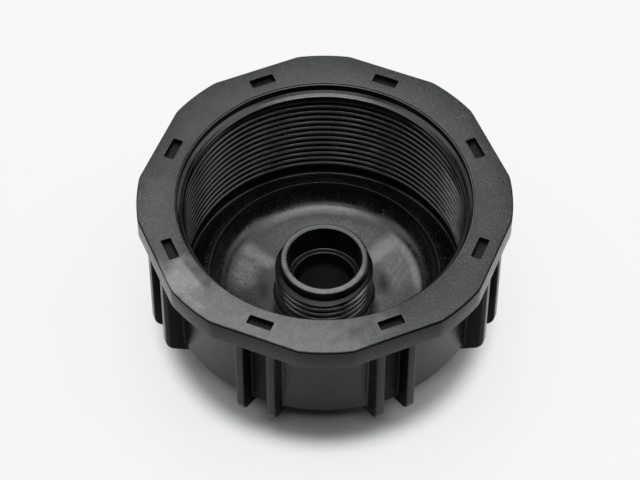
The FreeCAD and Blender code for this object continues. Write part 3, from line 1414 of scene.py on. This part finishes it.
    def relief(self, on: Surface, masks: PlasticMasks) -> Socket:
        """Relief of the grain, of the grit and of the marks in the bowl.

        Args:
            on: The surface.
            masks: The plastic's masks.

        Returns:
            The normal's socket.
        """
        writer = on.writer
        grit = writer.group(on.groups.specks, Vector=on.place, Scale=1500.0, Size=0.2, Share=0.05)
        marks = writer.group(on.groups.marks, Vector=on.place, Spacing=1700.0, Breaks=3.5)
        height = writer.plus(masks.texture["Height"], writer.times(grit["Mask"], 0.8),
                             writer.times(marks["Streaks"], masks.in_bowl, 0.1))
        strength = writer.ramp(masks.inside, 0.0, 1.0, 1.0, 0.18)
        return writer.node("ShaderNodeBump", Height=height, Strength=strength, Distance=0.0001).outputs[0]

    def mirroring(self, on: Surface, masks: PlasticMasks) -> Socket:
        """Specular level: low in the shade and on the outer side, high on the threads.

        Args:
            on: The surface.
            masks: The plastic's masks.

        Returns:
            The level's socket.
        """
        writer = on.writer
        level = writer.plus(writer.ramp(masks.shaded, 0.0, 1.0, 0.5, 0.08),
                            writer.times(writer.most(masks.thread_highlight, masks.on_male), 0.5))
        return writer.times(level, writer.ramp(masks.on_side, 0.0, 1.0, 1.0, self.side_level))

    def build(self, groups: PlasticGroups) -> bpy.types.Material:
        """Build the material.

        Args:
            groups: The plastic's node groups.

        Returns:
            The material.
        """
        made = bpy.data.materials.new(self.name)
        made.use_nodes = True
        made.diffuse_color = self.light
        made.node_tree.nodes.clear()
        on = Surface.read(TreeWriter(made.node_tree), groups)
        masks = self.masks(on)
        shader = on.writer.node(
            "ShaderNodeBsdfPrincipled", IOR=self.refraction, Base_Color=self.colour(on, masks),
            Roughness=self.unevenness(on, masks), Normal=self.relief(on, masks),
            Specular_IOR_Level=self.mirroring(on, masks))
        on.writer.node("ShaderNodeOutputMaterial", Surface=shader.outputs[0])
        return made


@dataclass(frozen=True)
class Lamp:
    """One soft box: its place, its size, its strength, its target and its colour, in metres and watts."""

    name: str
    place: Place
    size: Point
    watts: float
    target: Place = (0.0, 0.0, 0.03)
    colour: tuple[float, float, float] = (0.965, 1.0, 0.995)

    def build(self) -> bpy.types.Object:
        """Add the lamp to the scene.

        Returns:
            The lamp's object.
        """
        data = bpy.data.lights.new(self.name, "AREA")
        data.shape = "RECTANGLE"
        data.size, data.size_y = self.size
        data.color = self.colour
        data.energy = self.watts
        made = link(self.name, data)
        made.location = self.place
        way = Vector(self.target) - Vector(self.place)
        made.rotation_euler = way.to_track_quat("-Z", "Y").to_euler()
        return made


@dataclass
class Studio:
    """The pale floor, the soft lamps and the surrounding light, in metres."""

    floor_size: float = 8.0
    floor_colour: Colour = (0.7, 0.7, 0.7, 1.0)
    floor_glow: Colour = (0.94, 0.94, 0.93, 1.0)
    # Where the painted shadow round the part is centred, and where it fades out
    painted_shadow_centre: float = -0.004
    painted_shadow_edge: Point = (0.0405, 0.0492)
    glow_share: float = 0.82
    world_strength: float = 0.01
    lamps: tuple[Lamp, ...] = (
        Lamp("lamp_top", (0.0, 0.27, 1.0), (0.8, 0.7), 3.3),
        Lamp("lamp_middle", (0.0, 0.27, 1.01), (0.35, 0.35), 1.8),
        Lamp("lamp_over", (0.0, -0.08, 1.03), (0.5, 0.15), 2.9),
        Lamp("lamp_front", (0.0, -0.42, 0.94), (0.7, 0.2), 1.15),
        Lamp("lamp_high_back", (-0.04, 0.65, 0.8), (0.3, 0.25), 1.06),
        Lamp("lamp_back", (0.0, 0.875, 0.515), (1.1, 0.5), 0.74),
        Lamp("lamp_back_left", (-0.75, 0.433, 0.53), (0.5, 0.5), 0.75),
        Lamp("lamp_back_right", (0.75, 0.433, 0.53), (0.5, 0.5), 0.92),
        Lamp("lamp_left_low", (-0.951, 0.0, 0.339), (0.5, 0.5), 0.18),
        Lamp("lamp_right_low", (0.951, 0.0, 0.339), (0.5, 0.5), 0.83),
        Lamp("lamp_left_high", (-0.62, 0.0, 0.8), (0.5, 0.6), 1.95),
        Lamp("lamp_right_high", (0.62, 0.0, 0.8), (0.5, 0.6), 2.35),
    )

    def floor_material(self) -> bpy.types.Material:
        """The floor's material, white to the camera and to reflections. Round the part the white fades out in
        a disc, a painted shadow through which the object's rendered shadow shows.

        Returns:
            The material.
        """
        made = bpy.data.materials.new("pale_floor")
        made.use_nodes = True
        made.node_tree.nodes.clear()
        writer = TreeWriter(made.node_tree)
        x, y, _ = writer.split(writer.node("ShaderNodeTexCoord").outputs["Object"])
        # Painted shadow: the glow fades out in a disc round the part, set a little to its front, so the floor
        # there is darker and its rendered shadow shows
        away = writer.length(x, writer.minus(y, self.painted_shadow_centre))
        path = writer.node("ShaderNodeLightPath").outputs
        seen = writer.most(path["Is Camera Ray"], path["Is Glossy Ray"], path["Is Transmission Ray"])
        share = writer.times(writer.ramp(away, *self.painted_shadow_edge, 0.0, self.glow_share), seen)
        lit = writer.node("ShaderNodeBsdfDiffuse", Color=self.floor_colour)
        glow = writer.node("ShaderNodeEmission", Color=self.floor_glow, Strength=1.0)
        mixed = writer.node("ShaderNodeMixShader")
        for socket, fed in zip(mixed.inputs, (share, lit.outputs[0], glow.outputs[0])):
            writer.feed(socket, fed)
        writer.node("ShaderNodeOutputMaterial", Surface=mixed.outputs[0])
        return made

    def floor(self) -> bpy.types.Object:
        """Add the floor on which the part stands.

        Returns:
            The floor's object.
        """
        work = bmesh.new()
        bmesh.ops.create_grid(work, x_segments=1, y_segments=1, size=self.floor_size)
        made = link("studio_floor", plain_mesh("studio_floor", work))
        made.data.materials.append(self.floor_material())
        return made

    def surroundings(self) -> None:
        """Set the light that comes from all round."""
        world = bpy.data.worlds.new("studio")
        bpy.context.scene.world = world
        world.use_nodes = True
        back = world.node_tree.nodes["Background"]
        back.inputs["Color"].default_value = (1.0, 1.0, 1.0, 1.0)
        back.inputs["Strength"].default_value = self.world_strength

    def build(self) -> None:
        """Build the whole studio."""
        self.floor()
        self.surroundings()
        for lamp in self.lamps:
            lamp.build()


@dataclass(frozen=True)
class Viewpoint:
    """The photograph's view: lengths in metres, angles in degrees, on a sensor 36 mm wide."""

    lens_mm: float = 156.56
    sensor_mm: float = 36.0
    elevation: float = 52.9145
    turn: float = 0.50186
    roll: float = 0.27554
    distance: float = 0.738595
    shift_right: float = 0.0012752
    shift_down: float = -0.0112099
    target_height: float = 0.0455
    clip: Point = (0.05, 40.0)

    def build(self) -> bpy.types.Object:
        """Add the camera.

        Returns:
            The camera's object.
        """
        data = bpy.data.cameras.new("photo_camera")
        data.lens = self.lens_mm
        data.sensor_fit = "HORIZONTAL"
        data.sensor_width = self.sensor_mm
        data.clip_start, data.clip_end = self.clip
        el, roll = math.radians(self.elevation), math.radians(self.roll)
        look = Matrix(((1, 0, 0), (0, -math.sin(el), -math.cos(el)), (0, math.cos(el), -math.sin(el))))
        tip = Matrix(((math.cos(roll), -math.sin(roll), 0), (math.sin(roll), math.cos(roll), 0), (0, 0, 1)))
        seen = tip @ look @ Matrix.Rotation(math.radians(self.turn), 3, "Z")
        offset = Vector((self.shift_right, self.shift_down, self.distance))
        place = Vector((0, 0, self.target_height)) - seen.transposed() @ offset
        right, down, forward = seen
        made = link("photo_camera", data)
        made.matrix_world = Matrix.Translation(place) @ Matrix((right, -down, -forward)).transposed().to_4x4()
        bpy.context.scene.camera = made
        return made


@dataclass
class Connector:
    """The whole moulding: collar, spigot and ribs in one black plastic."""

    collar: Collar = field(default_factory=Collar)
    spigot: Spigot = field(default_factory=Spigot)
    ribs: Ribs = field(default_factory=Ribs)
    plastic: BlackPlastic = field(default_factory=BlackPlastic)

    def build(self) -> list[bpy.types.Object]:
        """Build every piece and hand it to the CAD body.

        Returns:
            The pieces.
        """
        finish, threads = self.plastic.build(PlasticGroups()), thread_tree()
        pieces = [
            self.collar.build(finish, threads, pocket_tree()),
            self.spigot.build(finish, threads),
            self.ribs.build(finish, ring_tree()),
        ]
        for piece in pieces:
            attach(piece, "root")
            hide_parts(NODE)
        return pieces


def main() -> None:
    """Build the connector, the studio and the camera, and report the pieces."""
    logging.basicConfig(level=logging.INFO, format="%(name)s: %(message)s")
    bpy.context.scene.view_settings.view_transform = "Standard"
    for piece in Connector().build():
        LOG.info("%s: %d faces", piece.name, len(piece.data.polygons))
    Studio().build()
    Viewpoint().build()
    bpy.context.view_layer.update()


if __name__ == "__main__":
    main()
